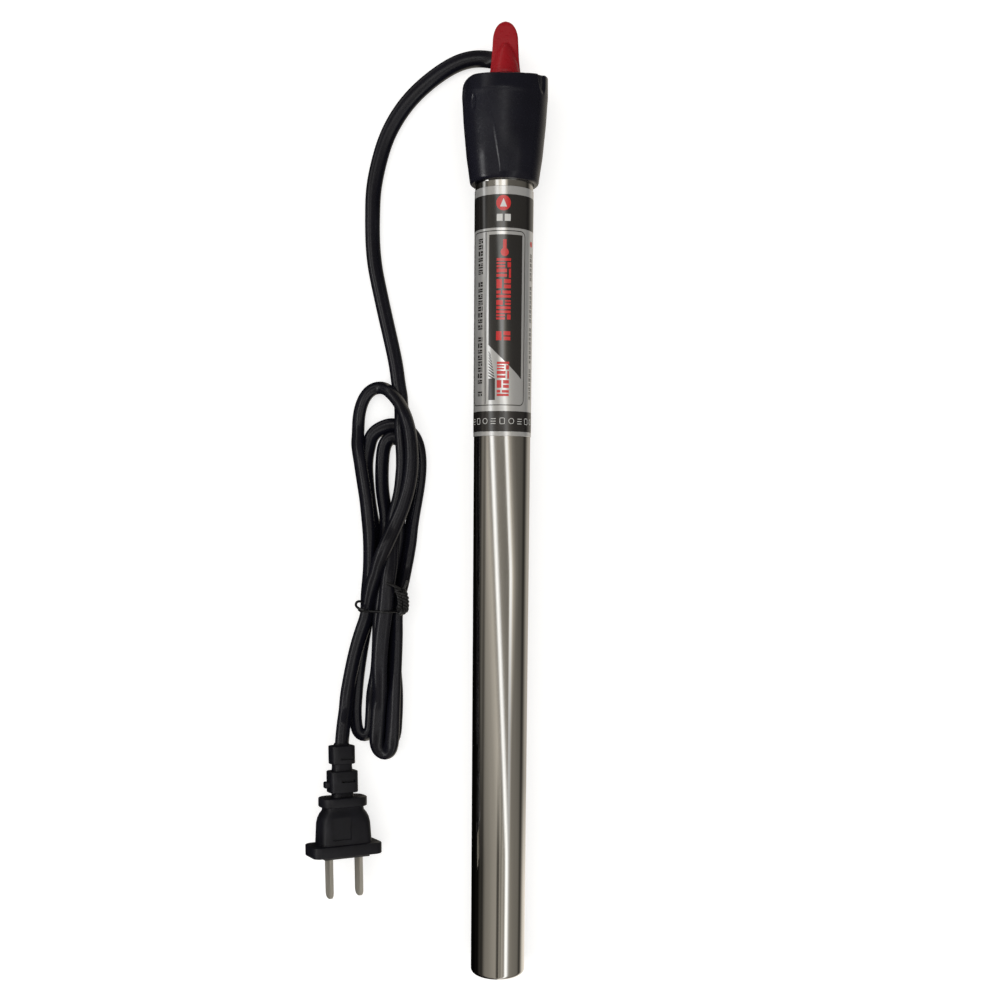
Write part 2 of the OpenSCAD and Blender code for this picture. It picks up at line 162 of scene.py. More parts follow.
def finish(name, colour, rough, metal=0.0, vary=0.12, grain=900, depth=0.01, stretch=(1, 1, 1), **more):
    """A node material. Its colour drifts by vary, its roughness by a fifth, and a grain of that
    many waves to the metre lifts the surface by depth millimetres. stretch draws it all out."""
    material = bpy.data.materials.new(name)
    material.use_nodes = True
    tree = material.node_tree
    shader = tree.nodes["Principled BSDF"]
    shader.inputs["Metallic"].default_value = metal
    for socket, value in more.items():
        shader.inputs[socket.replace("_", " ")].default_value = value
    place = tree.nodes.new("ShaderNodeTexCoord")
    mapping = tree.nodes.new("ShaderNodeMapping")
    mapping.inputs["Scale"].default_value = stretch
    tree.links.new(place.outputs["Object"], mapping.inputs["Vector"])
    vector = mapping.outputs["Vector"]
    low, high = NOISE_SPAN
    cloud = noise(tree, vector, grain / 12)
    dark = [c * (1 - vary) for c in colour]
    light = [min(1, c * (1 + vary)) for c in colour]
    tree.links.new(ramp(tree, cloud, [(low, dark), (high, light)]), shader.inputs["Base Color"])
    fine = noise(tree, vector, grain, 4.0)
    uneven = rise(tree, fine, low, high, rough * 0.8, rough * 1.2)
    tree.links.new(uneven, shader.inputs["Roughness"])
    bump = tree.nodes.new("ShaderNodeBump")
    bump.inputs["Strength"].default_value = 0.5
    bump.inputs["Distance"].default_value = depth * MM
    tree.links.new(fine, bump.inputs["Height"])
    tree.links.new(bump.outputs["Normal"], shader.inputs["Normal"])
    return material


ALONG_Y = (1, 0.02, 1)
ACROSS = (1, 1, 0.05)
FINISHES = {
    "stainless": finish(
        "stainless", (0.62, 0.61, 0.595), 0.075, 1, 0.05, 2600, 0.0008, ALONG_Y
    ),
    "label_film": finish(
        "label_film", (0.66, 0.66, 0.66), 0.10, 0.6, 0.03, 120, 0.0003, (1, 0.2, 1)
    ),
    "label_black": finish(
        "label_black", (0.013, 0.012, 0.012), 0.10, 0, 0.2, 120, 0.0003, IOR=1.9
    ),
    "label_red": finish(
        "label_red", (0.52, 0.020, 0.022), 0.13, 0, 0.12, 120, 0.0003, IOR=1.7
    ),
    "label_white": finish(
        "label_white", (0.58, 0.58, 0.57), 0.14, 0, 0.06, 120, 0.0003, IOR=1.7
    ),
    "head_plastic": finish(
        "head_plastic", (0.0068, 0.0068, 0.0115), 0.25, 0, 0.15, 900, 0.0008,
        Specular_IOR_Level=0.22,
    ),
    "black_rubber": finish("black_rubber", (0.013, 0.013, 0.014), 0.62, 0, 0.2, 1800, 0.02),
    "red_plastic": finish(
        "red_plastic", (0.275, 0.007, 0.012), 0.3, 0, 0.05, 700, 0.001, Specular_IOR_Level=0.25
    ),
    "brass": finish("brass", (0.70, 0.50, 0.20), 0.28, 1, 0.12, 3000, 0.004, ACROSS),
    "spring_steel": finish("spring_steel", (0.55, 0.54, 0.52), 0.25, 1, 0.1, 2500, 0.003, ALONG_Y),
    "phenolic": finish("phenolic", (0.66, 0.56, 0.40), 0.5, 0, 0.1, 1200, 0.01),
    "silver_contact": finish("silver_contact", (0.85, 0.84, 0.80), 0.2, 1, 0.06, 2500, 0.003),
    "bimetal": finish("bimetal", (0.52, 0.45, 0.34), 0.34, 1, 0.14, 2500, 0.003, ALONG_Y),
    "ferrite": finish("ferrite", (0.035, 0.035, 0.04), 0.55, 0.2, 0.2, 3500, 0.01),
    "lamp_glass": finish(
        "lamp_glass", (0.95, 0.45, 0.22), 0.06, 0, 0.08, 500, 0.002, Transmission_Weight=0.6
    ),
    "resistor_body": finish("resistor_body", (0.58, 0.43, 0.25), 0.35, 0, 0.1, 900, 0.01),
    "capacitor_case": finish("capacitor_case", (0.50, 0.11, 0.06), 0.25, 0, 0.1, 500, 0.02),
    "ceramic": finish("ceramic", (0.80, 0.77, 0.70), 0.7, 0, 0.06, 1600, 0.02),
    "resistance_wire": finish("resistance_wire", (0.36, 0.31, 0.27), 0.42, 1, 0.2, 2200, 0.01),
    "quartz_sand": finish("quartz_sand", (0.64, 0.54, 0.36), 0.9, 0, 0.3, 2600, 0.2),
    "mica": finish("mica", (0.55, 0.42, 0.22), 0.3, 0, 0.25, 900, 0.02),
    "fibre_pad": finish("fibre_pad", (0.82, 0.80, 0.75), 0.95, 0, 0.1, 2000, 0.15),
    "brown_insulation": finish("brown_insulation", (0.13, 0.05, 0.02), 0.4, 0, 0.1, 900, 0.01),
    "blue_insulation": finish("blue_insulation", (0.03, 0.10, 0.40), 0.4, 0, 0.1, 900, 0.01),
    "white_sleeving": finish("white_sleeving", (0.80, 0.78, 0.72), 0.85, 0, 0.1, 2600, 0.08),
    "tinned_copper": finish("tinned_copper", (0.76, 0.74, 0.70), 0.3, 1, 0.1, 2400, 0.004),
    "cord_pvc": finish(
        "cord_pvc", (0.0046, 0.0046, 0.0080), 0.24, 0, 0.2, 900, 0.0008, Specular_IOR_Level=0.35
    ),
    "tie_plastic": finish("tie_plastic", (0.004, 0.004, 0.005), 0.3, 0, 0.2, 1800, 0.01),
    "plug_pvc": finish(
        "plug_pvc", (0.0058, 0.0058, 0.0085), 0.42, 0, 0.25, 2200, 0.008, Specular_IOR_Level=0.3,
    ),
    "plug_insert": finish("plug_insert", (0.02, 0.02, 0.022), 0.45, 0, 0.2, 1800, 0.01),
    "nickel": finish("nickel", (0.33, 0.31, 0.27), 0.4, 0.3, 0.2, 2400, 0.003, ALONG_Y),
}


def dress_cad_nodes():
    """Every carried-over CAD node takes its slot's node material."""
    for part in frame["record"]["subparts"]:
        for slot in frame["nodes"][part["node"]].material_slots:
            slot.material = FINISHES[part["material_slot"]]


dress_cad_nodes()

# ------------------------------------------------------------------ making meshes


def add_piece(name, points, faces, slot, frame_matrix=None, crease=35, body="root", replaces=()):
    """A mesh piece with its place in its mesh. Edges sharper than crease degrees stay sharp."""
    if frame_matrix is not None:
        points = [frame_matrix @ Vector(p) for p in points]
    mesh = bpy.data.meshes.new(name)
    mesh.from_pydata([tuple(p) for p in points], [], faces)
    bm = bmesh.new()
    bm.from_mesh(mesh)
    bmesh.ops.remove_doubles(bm, verts=bm.verts, dist=0.002 * MM)
    bmesh.ops.recalc_face_normals(bm, faces=bm.faces)
    limit = math.radians(crease)
    for face in bm.faces:
        face.smooth = True
    for edge in bm.edges:
        edge.smooth = edge.calc_face_angle(math.pi) < limit
    bm.to_mesh(mesh)
    bm.free()
    mesh.materials.append(FINISHES[slot])
    piece = bpy.data.objects.new(name, mesh)
    bpy.context.scene.collection.objects.link(piece)
    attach(piece, body)
    if replaces:
        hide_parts(*replaces)
    return piece


def skin(rings, joined=False):
    """Points and faces over rings of equally many points. joined closes the last ring on the
    first one, and otherwise both ends are capped."""
    n = len(rings[0])
    points = [p for ring in rings for p in ring]
    faces = []
    count = len(rings)
    for i in range(count if joined else count - 1):
        a, b = i * n, (i + 1) % count * n
        for k in range(n):
            m = (k + 1) % n
            faces.append((a + k, a + m, b + m, b + k))
    if not joined:
        faces.append(tuple(reversed(range(n))))
        faces.append(tuple(range((count - 1) * n, count * n)))
    return points, faces


def turned(profile_at, steps):
    """Rings of a body round z: profile_at(degrees) is its section there as (radius, height). The
    angle runs from -y, which faces up, towards +x."""
    rings = []
    for k in range(steps):
        degrees = 360 * k / steps - 180
        a = math.radians(degrees)
        rings.append([(r * math.sin(a), -r * math.cos(a), z) for r, z in profile_at(degrees)])
    return rings


def arc(cx, cy, r, start, end, steps=8):
    """Points of an arc, in degrees."""
    return [
        (cx + r * math.cos(math.radians(a)), cy + r * math.sin(math.radians(a)))
        for a in np.linspace(start, end, steps + 1)
    ]


def smooth_step(x, low, high):
    t = min(1, max(0, (x - low) / (high - low)))
    return t * t * (3 - 2 * t)


def join(*parts):
    """Several (points, faces) as one."""
    points, faces = [], []
    for some, more in parts:
        faces += [tuple(i + len(points) for i in face) for face in more]
        points += some
    return points, faces


def unit(v):
    return v / np.maximum(np.linalg.norm(v, axis=-1, keepdims=True), 1e-12)


def smooth_line(points, step):
    """A smooth curve through the points, with its own points evenly spaced by about step."""
    p = np.array(points, float)
    p = np.vstack([2 * p[0] - p[1], p, 2 * p[-1] - p[-2]])
    pieces = []
    for a, b, c, d in zip(p, p[1:], p[2:], p[3:]):
        u = np.linspace(0, 1, 16, endpoint=False)[:, None]
        pieces.append(
            0.5 * (2 * b + (c - a) * u + (2 * a - 5 * b + 4 * c - d) * u**2
                   + (3 * b - a - 3 * c + d) * u**3)
        )
    fine = np.vstack(pieces + [p[-2:-1]])
    run = np.concatenate([[0], np.cumsum(np.linalg.norm(np.diff(fine, axis=0), axis=1))])
    places = np.linspace(0, run[-1], int(round(run[-1] / step)) + 1)
    return np.stack([np.interp(places, run, fine[:, k]) for k in range(3)], axis=1)


def axes_along(path):
    """Which way a path runs at each point, with the directions up from it and across it."""
    up = np.array([0.0, 0, 1])
    ahead = unit(np.gradient(path, axis=0))
    top = unit(up - (ahead @ up)[:, None] * ahead)
    return ahead, top, np.cross(ahead, top)


def tube_rings(path, half_width, half_height, twist=0, sides=10, squareness=2.0):
    """Rings of an oval tube along a path. The sizes and the twist, in degrees, may be lists."""
    path = np.asarray(path, float)
    n = len(path)
    _, top, side = axes_along(path)
    w = np.broadcast_to(half_width, n)
    h = np.broadcast_to(half_height, n)
    turn = np.radians(np.broadcast_to(twist, n))
    rings = []
    for i in range(n):
        s = side[i] * math.cos(turn[i]) + top[i] * math.sin(turn[i])
        t = top[i] * math.cos(turn[i]) - side[i] * math.sin(turn[i])
        ring = []
        for k in range(sides):
            c, q = math.cos(2 * math.pi * k / sides), math.sin(2 * math.pi * k / sides)
            c = math.copysign(abs(c) ** (2 / squareness), c)
            q = math.copysign(abs(q) ** (2 / squareness), q)
            ring.append(tuple(path[i] + s * c * w[i] + t * q * h[i]))
        rings.append(ring)
    return rings


# ------------------------------------------------------------------ cord

CORD_W = 6.1
CORD_T = 4.6
CORD_REACH = 5.1  # how far apart two strands' middles lie
CORD_SQUARENESS = 2.25  # 2 is an ellipse
RING_GAP = 0.8  # between the rings of its mesh

# from the gland down to the hank, in millimetres, as in the part's source
LEAD = [
    (5, 157, 7.5), (4.4, 162, 7.6), (3.4, 166.6, 7.6), (1, 171.4, 7.6), (-3.2, 175.1, 7.5),
    (-9, 176.4, 7.2), (-15, 175.7, 6.6), (-20.5, 173.6, 6), (-27.5, 169.2, 5), (-35, 162.8, 4),
    (-41, 155.5, 3.4), (-45.7, 147, 3), (-48.8, 137.5, 2.9), (-50.8, 127.5, 2.9),
    (-51.3, 117, 2.9), (-51.2, 107, 2.9), (-50.3, 98, 2.9), (-48.5, 89, 3),
    (-46.4, 79.5, 3.6), (-44.2, 70, 4.9), (-42.3, 61, 6.6), (-41, 51.5, 8.4),
]
# down into the hank, as far as the tie
DOWN = [
    (-39.9, 43, 8.4), (-39.7, 35, 8.2), (-39.2, 29, 8.2), (-39, 23, 8.2), (-39.3, 17, 8.2),
    (-40.4, 9, 8.4), (-42.2, 2, 8.8), (-43.2, -5, 9.6), (-44, -14, 10.8), (-45, -26, 12),
    (-46, -36.5, 13),
]
# the folds and loops of the hank, each from the tie and back to it
LONG_FOLD = [
    (-47, -44, 12.8), (-47.8, -52, 12.6), (-48.3, -62, 12.2), (-48.6, -71, 11.6),
    (-49.3, -81, 10.8), (-49.5, -89.5, 10.2), (-48, -94.6, 9.8), (-45.6, -94, 9.6),
    (-43.8, -89, 9.4), (-43.2, -80, 9.4), (-42.7, -68, 9.5), (-42.2, -54, 9.2), (-42, -44, 8.6),
    (-42, -36.5, 8),
]
WIDE_LOOP = [
    (-40.5, -27, 7.4), (-39, -19, 6.6), (-37.7, -12, 5.6), (-36.3, -4, 4.4), (-35, 4, 3.4),
    (-33.7, 11.5, 2.8), (-32.9, 18, 2.7), (-32.8, 24, 2.7), (-33.8, 30, 2.7), (-36.4, 34.5, 2.7),
    (-40, 36.6, 2.7), (-44, 36.8, 2.7), (-48, 36, 2.7), (-51.4, 33.6, 2.7), (-53.6, 29, 2.7),
    (-54.3, 23, 2.7), (-54, 16, 2.7), (-53.2, 8, 2.7), (-52, 0, 2.8), (-50.4, -8, 2.9),
    (-49.4, -16, 3), (-49.4, -26, 3.3), (-49.6, -36.5, 3.5),
]
SHORT_FOLD = [
    (-48.4, -49, 4.2), (-47.6, -61, 5), (-47.5, -72, 5), (-47.7, -82, 4.6), (-47, -88.6, 4),
    (-45, -90.4, 3.4), (-43.3, -86.5, 3), (-42.8, -80, 2.9), (-42.8, -72, 2.8),
    (-43.3, -58, 2.8), (-44, -46, 3), (-44.4, -36.5, 3.3),
]
NARROW_LOOP = [
    (-43.6, -24, 3), (-42.4, -10, 2.8), (-41.2, 4, 2.7), (-40.2, 14, 2.7), (-39.5, 23, 2.7),
    (-39.8, 29.4, 2.7), (-41.7, 32.6, 2.7), (-44.2, 32.4, 2.7), (-46.4, 29.8, 2.7),
    (-47.5, 25, 2.7), (-47.9, 18, 2.7), (-47.7, 11.5, 2.7), (-46.9, 5.5, 2.9), (-46, -1, 3.6),
    (-46.4, -12, 5.6), (-47.6, -25, 7.6), (-48.6, -36.5, 8.6),
]
LEFT_FOLD = [
    (-48.8, -46, 6.6), (-49.2, -56, 4.4), (-49.8, -66, 3), (-50.8, -74.5, 2.7),
    (-52, -82, 2.7), (-53.8, -87, 2.7), (-56.4, -88, 2.7), (-58.4, -84, 2.7),
    (-59, -77, 2.7), (-58.7, -70, 2.7), (-57.8, -62, 2.8), (-56.6, -54, 3.4), (-55.2, -46, 4.8),
    (-53.6, -36.5, 7),
]
OUTER_LOOP = [
    (-53, -28, 7.4), (-52.5, -18, 7.6), (-52.5, -8, 7.6), (-53.1, 0, 7.6), (-53.9, 8, 7.7),
    (-55.1, 16, 7.8), (-56.2, 24, 8), (-57, 31, 7.8), (-57.2, 38, 7.2), (-56, 44.8, 6.2),
    (-53, 50, 6.8), (-48.8, 51.9, 8.2), (-44.2, 50.1, 10.4), (-40.6, 45.6, 12.2),
    (-38.1, 40.4, 12.8), (-36.4, 34.6, 12.6), (-35.7, 27, 12.4), (-35.8, 19.5, 12.4),
    (-36.8, 13, 12.6), (-39, 5, 13), (-42, -2.4, 13.6), (-45.5, -11, 14), (-48.9, -20, 13.8),
    (-51.5, -28.5, 13), (-53, -36.5, 12.3),
]
# from the hank to the plug, as in the part's source
TAIL = [
    (-54.3, -40.5, 11.6), (-56, -45.5, 10.6), (-58, -52.5, 9.6), (-59.7, -60, 8.8),
    (-61.4, -69, 8.5), (-62.6, -78, 8.6), (-63.5, -86, 8.9), (-64, -92, 9.2),
]
ROUTE = (
    LEAD + DOWN + LONG_FOLD + WIDE_LOOP + SHORT_FOLD + NARROW_LOOP + LEFT_FOLD + OUTER_LOOP + TAIL
)
# how far the flat cord has rolled onto its edge: (share of its length, degrees)
CORD_TWIST = [
    (0, 0), (0.05, 10), (0.10, 40), (0.20, 50), (0.235, 5), (0.27, 0), (0.30, 45), (0.45, 50),
    (0.70, 55), (0.85, 60), (0.88, 70), (0.92, 40), (1, 50),
]


# how the cord settles, with lengths in millimetres and shares taken in each round
ROUNDS = 320
POINT_GAP = 2.0
SINK = 0.03
FLOOR_GAP = 0.1
PLAN_HOLD = [(0, 0.2), (130, 0.2), (160, 0.12)]  # (point along the line, share)
STIFFNESS = 0.5
NEIGHBOURS = 5  # points this near along the line don't push each other
START_HELD, END_HELD = 8, 6  # points that never move
MOST_PUSHES = 2.5


def push_apart(points, strangers):
    """Moves points that lie too near to each other away from each other."""
    apart = points[:, None, :] - points[None, :, :]
    far = np.sqrt((apart**2).sum(-1)) + 1e-9
    close = np.where(strangers & (far < CORD_REACH), (CORD_REACH - far) / far, 0)
    push = (close[:, :, None] * apart).sum(1) / 2
    points += push / np.clip((close > 0).sum(1), 1, MOST_PUSHES)[:, None]


def keep_length(points, gap):
    """Brings each point back towards its distance from the next."""
    step = np.diff(points, axis=0)
    long = np.linalg.norm(step, axis=1)[:, None]
    fix = (long - gap) / long * step / 4
    points[:-1] += fix
    points[1:] -= fix


def settle(route, rounds):
    """The route as a line of points that lies as a cord does: it sinks under its weight, lies on
    the floor and on itself, resists bending and keeps its length, while its plan stays put."""
    aim = smooth_line(route, POINT_GAP)
    gap = np.linalg.norm(np.diff(aim, axis=0), axis=1).mean()
    n = len(aim)
    roll = np.radians(np.interp(np.linspace(0, 1, n), *zip(*CORD_TWIST)))
    floor = np.hypot(CORD_W / 2 * np.sin(roll), CORD_T / 2 * np.cos(roll)) + FLOOR_GAP
    index = np.arange(n)
    hold = np.interp(index, *zip(*PLAN_HOLD))[:, None]
    strangers = np.abs(index[:, None] - index[None, :]) > NEIGHBOURS
    held = (index < START_HELD) | (index >= n - END_HELD)
    line = aim.copy()
    for _ in range(rounds):
        new = line.copy()
        new[:, 2] -= SINK
        new[:, :2] += hold * (aim[:, :2] - new[:, :2])
        sag = np.zeros_like(new)
        sag[1:-1] = (new[:-2] + new[2:]) / 2 - new[1:-1]
        stiff = np.zeros_like(new)
        stiff[1:-1] = (sag[:-2] + sag[2:]) / 2 - sag[1:-1]
        new -= STIFFNESS * stiff
        for _ in range(2):
            push_apart(new, strangers)
            new[:, 2] = np.maximum(new[:, 2], floor)
        for _ in range(4):
            keep_length(new, gap)
        new[held] = line[held]
        line = new
    return line


def add_cord():
    """The cord's piece, and its middle line in millimetres."""
    line = smooth_line(settle(ROUTE, ROUNDS), RING_GAP)
    share = np.linspace(0, 1, len(line))
    twist = np.interp(share, *zip(*CORD_TWIST))
    rings = tube_rings(line * MM, CORD_W / 2 * MM, CORD_T / 2 * MM, twist, 20, CORD_SQUARENESS)
    cord = add_piece(
        "mains_cord", *skin(rings), "cord_pvc", crease=60,
        replaces=("cord_lead", "cord_hank", "cord_tail"),
    )
    return cord, line


CORD, CORD_LINE = add_cord()

# ------------------------------------------------------------------ gland and twist tie


def add_gland():
    """A ribbed boot that follows the cord out of the head, and tapers from where it comes out."""
    inside = [(5, 146, 7.5), (5, 151, 7.5)]
    covered = [tuple(p) for p in CORD_LINE[:16:5]]
    step, head_face, rib_pitch, groove = 0.5, 17, 2, 0.8
    path = smooth_line(inside + covered, step)
    run = np.arange(len(path)) * step
    radius = np.interp(run, [0, head_face, run[-1]], [3.85, 3.8, 3.1])
    grooved = (run > head_face) & (run % rib_pitch < groove) & (run < run[-1] - 1)
    radius = radius + np.where(grooved, -0.25, 0)
    rings = tube_rings(path * MM, radius * MM, radius * MM, sides=32)
    return add_piece("cord_boot", *skin(rings), "black_rubber", replaces=("cord_gland",))


GLAND = add_gland()

TIE_Y = -36.3
TIE_R = 0.5
TIE_GAP = 0.1  # between the tie and the strands


def strands_at(y):
    """Where the cord crosses a plane across the hank: (x, z) of each strand."""
    places = []
    for a, b in zip(CORD_LINE, CORD_LINE[1:]):
        if (a[1] - y) * (b[1] - y) <= 0 and a[1] != b[1]:
            places.append(a + (b - a) * (y - a[1]) / (b[1] - a[1]))
    return [(p[0], p[2]) for p in places]


def hull(points):
    """The convex outline of points in a plane, anticlockwise."""
    points = sorted(points)

    def half(run):
        out = []
        for p in run:
            while len(out) > 1 and (
                (out[-1][0] - out[-2][0]) * (p[1] - out[-2][1])
                - (out[-1][1] - out[-2][1]) * (p[0] - out[-2][0])
            ) <= 0:
                out.pop()
            out.append(p)
        return out[:-1]

    return half(points) + half(points[::-1])


def tie_band(y):
    """A closed line round the strands at one place, drawn tight."""
    reach = CORD_REACH / 2 + TIE_R + TIE_GAP
    lowest = TIE_R + 0.15
    around = [
        (x + reach * math.cos(a), max(z + reach * math.sin(a), lowest))
        for x, z in strands_at(y) for a in np.linspace(0, 2 * math.pi, 32, endpoint=False)
    ]
    return [(x, y, z) for x, z in hull(around)]


def closed_tube(line, radius, step=0.6, sides=10):
    """A round tube on a closed line that lies across y."""
    loop = np.array(line + line[:1])
    run = np.linalg.norm(np.diff(loop, axis=0), axis=1)
    at = np.concatenate([[0], np.cumsum(run)])
    places = np.linspace(0, at[-1], int(at[-1] / step), endpoint=False)
    p = np.stack([np.interp(places, at, loop[:, k]) for k in range(3)], axis=1)
    ahead = unit(np.roll(p, -1, axis=0) - np.roll(p, 1, axis=0))
    out = unit(np.cross(ahead, (0, 1.0, 0)))
    rings = []
    for i in range(len(p)):
        side = np.cross(out[i], ahead[i])
        rings.append([
            tuple(p[i] + radius * (out[i] * math.cos(a) + side * math.sin(a)))
            for a in np.linspace(0, 2 * math.pi, sides, endpoint=False)
        ])
    return skin(rings, joined=True)


def twisted_pair(line, lay, radius, step=0.35):
    """Two wires twisted round each other along a line, one turn in every lay millimetres."""
    path = smooth_line(line, step)
    _, top, side = axes_along(path)
    turn = (np.arange(len(path)) * step / lay * 2 * math.pi)[:, None]
    swing = (np.cos(turn) * side + np.sin(turn) * top) * radius
    return [skin(tube_rings(path + s * swing, radius, radius)) for s in (1, -1)]


def add_tie():
    """The band, its twisted knot on the right with two loose ends, and a curl on the left."""
    band = tie_band(TIE_Y)
    right = max(band)[0]
    left = min(band)[0]
    high = max(p[2] for p in band)
    knot = [
        (right - 1.6, TIE_Y, high - 2.4), (right + 0.3, TIE_Y + 0.6, high - 4),
        (right + 0.6, TIE_Y + 3, high - 4.6), (right + 0.4, TIE_Y + 6, high - 4),
        (right - 0.6, TIE_Y + 8.6, high - 2.8),
    ]
    ends = [
        [(right - 0.6, TIE_Y + 8.4, high - 2.8), (right + 0.6, TIE_Y + 10, high - 2),
         (right + 1.6, TIE_Y + 12.4, high - 1.6)],
        [(right - 0.6, TIE_Y + 8.4, high - 2.6), (right - 2.4, TIE_Y + 9.8, high - 1),
         (right - 4.6, TIE_Y + 10.8, high + 0.2), (right - 6.2, TIE_Y + 11.4, high + 0.1)],
    ]
    curl = [
        (left + 3.2, TIE_Y + 0.6, high - 1.8), (left + 1, TIE_Y + 1.2, high - 2.6),
        (left - 0.3, TIE_Y + 2.2, high - 4.6), (left - 0.1, TIE_Y + 3.4, high - 5.4),
        (left + 1.2, TIE_Y + 3.9, high - 4.4), (left + 2.2, TIE_Y + 3.6, high - 3.4),
    ]
    parts = [closed_tube(band, TIE_R)]
    parts += twisted_pair(knot, 3, 0.85)
    parts += twisted_pair([(x - 2, y + 0.6, z + 0.9) for x, y, z in knot[1:]], 2.6, 0.7)
    for line in ends + [curl]:
        parts.append(skin(tube_rings(smooth_line(line, 0.4), TIE_R, TIE_R)))
    points, faces = join(*parts)
    points = [tuple(c * MM for c in p) for p in points]
    return add_piece("wire_tie", points, faces, "tie_plastic", crease=60, replaces=("twist_tie",))


TIE = add_tie()

# ------------------------------------------------------------------ tube and label


ROUND_STEPS = 256


def add_tube():
    """The sheath: its closed end with a small corner, the label's seat, and the bore."""
    r, seat, bore = TUBE_R, TUBE_R - LABEL_SEAT, TUBE_R - TUBE_WALL
    outside = [(0.01, 0), (4, 0), (r - TUBE_CORNER - 0.3, 0)]
    outside += arc(r - TUBE_CORNER, TUBE_CORNER, TUBE_CORNER, -90, 0, 14)
    outside += [(r, z) for z in np.linspace(TUBE_CORNER + 0.5, LABEL[0] - 0.1, 24)]
    outside += [(r, LABEL[0]), (seat, LABEL[0] + 0.02), (seat, LABEL[1] - 0.02), (r, LABEL[1])]
    outside += [(r, LABEL[1] + 0.1), (r, TUBE_TOP - 0.1), (r - 0.1, TUBE_TOP)]
    inside = [(bore, TUBE_TOP), (bore, 3.5), (bore - 1.9, 2.2), (0.01, 0.8)]
    rings = turned(lambda degrees: outside + inside, ROUND_STEPS)
    add_piece(
        "steel_tube", *skin(rings, joined=True), "stainless", HEATER, replaces=("sheath_tube",)
    )


def add_film():
    """The label's film, in its seat."""
    r, seat = LABEL_R, TUBE_R - LABEL_SEAT
    low, high = LABEL[0] + 0.05, LABEL[1] - 0.05
    profile = [(seat + 0.02, low), (r - 0.08, low), (r, low + 0.1), (r, high - 0.1),
               (r - 0.08, high), (seat + 0.02, high)]
    profile.append(profile[0])
    rings = turned(lambda degrees: profile, ROUND_STEPS)
    add_piece(
        "label_film", *skin(rings, joined=True), "label_film", HEATER, replaces=("label_sleeve",)
    )


def box_shape(u0, u1, v0, v1):
    return [(u0, v0), (u1, v0), (u1, v1), (u0, v1)]


def dot_shape(u, v, r, sides=28):
    return [
        (u + r * math.cos(2 * math.pi * k / sides), v + r * math.sin(2 * math.pi * k / sides))
        for k in range(sides)
    ]


def frame_shapes(u0, u1, v0, v1, r, line):
    """The line of a rounded rectangle, as a chain of small quads."""
    corners = [
        (u1 - r, v1 - r, 0), (u0 + r, v1 - r, 90), (u0 + r, v0 + r, 180), (u1 - r, v0 + r, 270)
    ]
    outer = [p for cu, cv, a in corners for p in arc(cu, cv, r, a, a + 90, 8)]
    inner = [p for cu, cv, a in corners for p in arc(cu, cv, r - line, a, a + 90, 8)]
    n = len(outer)
    return [[outer[k], outer[(k + 1) % n], inner[(k + 1) % n], inner[k]] for k in range(n)]


# marks that stand for letters: blocks of (from, to) across and along, as shares of a mark
MARKS = [
    [(0, 1, 0.7, 1), (0, 0.6, 0.36, 0.56), (0.75, 1, 0, 0.56), (0, 0.6, 0, 0.22)],
    [(0, 0.38, 0, 1), (0.52, 1, 0.55, 1), (0.52, 1, 0, 0.4)],
    [(0, 1, 0, 0.3), (0, 0.45, 0.45, 1), (0.6, 1, 0.45, 0.7), (0.6, 1, 0.82, 1)],
    [(0, 0.72, 0.6, 1), (0.86, 1, 0, 1), (0, 0.72, 0.1, 0.42)],
    [(0, 1, 0.12, 0.42), (0, 0.3, 0.56, 0.9), (0.42, 1, 0.56, 0.9)],
]


def marks(u0, u1, v_from, v_to, size, gap):
    """A line of print that reads along the tube, in meaningless marks."""
    shapes = []
    wide = u1 - u0
    v, k = v_from, 0
    while v - size >= v_to:
        is_space = k % 9 == 6
        for a, b, c, d in () if is_space else MARKS[k * 3 % len(MARKS)]:
            shapes.append(
                box_shape(u0 + a * wide, u0 + b * wide, v - size + c * size, v - size + d * size)
            )
        v -= size + gap
        k += 1
    return shapes


def wrap(shapes, low_r, high_r, bend=0.8):
    """A printed layer: flat shapes of (distance round, height) in millimetres, laid on the tube
    with a thickness from low_r to high_r."""
    bm = bmesh.new()
    for shape in shapes:
        bm.faces.new([bm.verts.new((u, v, 0)) for u, v in shape])
    spread = [v.co.x for v in bm.verts]
    for u in np.arange(min(spread) + bend / 2, max(spread), bend):
        geometry = list(bm.verts) + list(bm.edges) + list(bm.faces)
        bmesh.ops.bisect_plane(bm, geom=geometry, plane_co=(u, 0, 0), plane_no=(1, 0, 0))
    bm.verts.index_update()
    n = len(bm.verts)
    points = []
    for r in (low_r, high_r):
        for v in bm.verts:
            a = v.co.x / LABEL_R
            points.append((r * math.sin(a), -r * math.cos(a), v.co.y))
    faces = []
    for face in bm.faces:
        corners = [v.index for v in face.verts]
        faces.append(tuple(reversed(corners)))
        faces.append(tuple(c + n for c in corners))
    for edge in bm.edges:
        if len(edge.link_faces) == 1:
            a, b = (v.index for v in edge.verts)
            faces.append((a, b, b + n, a + n))
    bm.free()
    return points, faces


# the print's layout, in millimetres round the tube from its top line, and along it
HALF_ROUND = math.pi * LABEL_R
SEAM = 0.02
TOP_BAND = (293.4, 305.4)
FOOT_BAND = (218.7, 226.3)
PANEL_U = (-5.7, 7.5)
PANEL_TOP = 291
PANEL_FOOT = (250.9, 238.4)  # at its left and at its right
SMALL_PRINT_AT = (18, 21.5, 25, -18.5, -22, -25.5, -29)
INK = 0.04


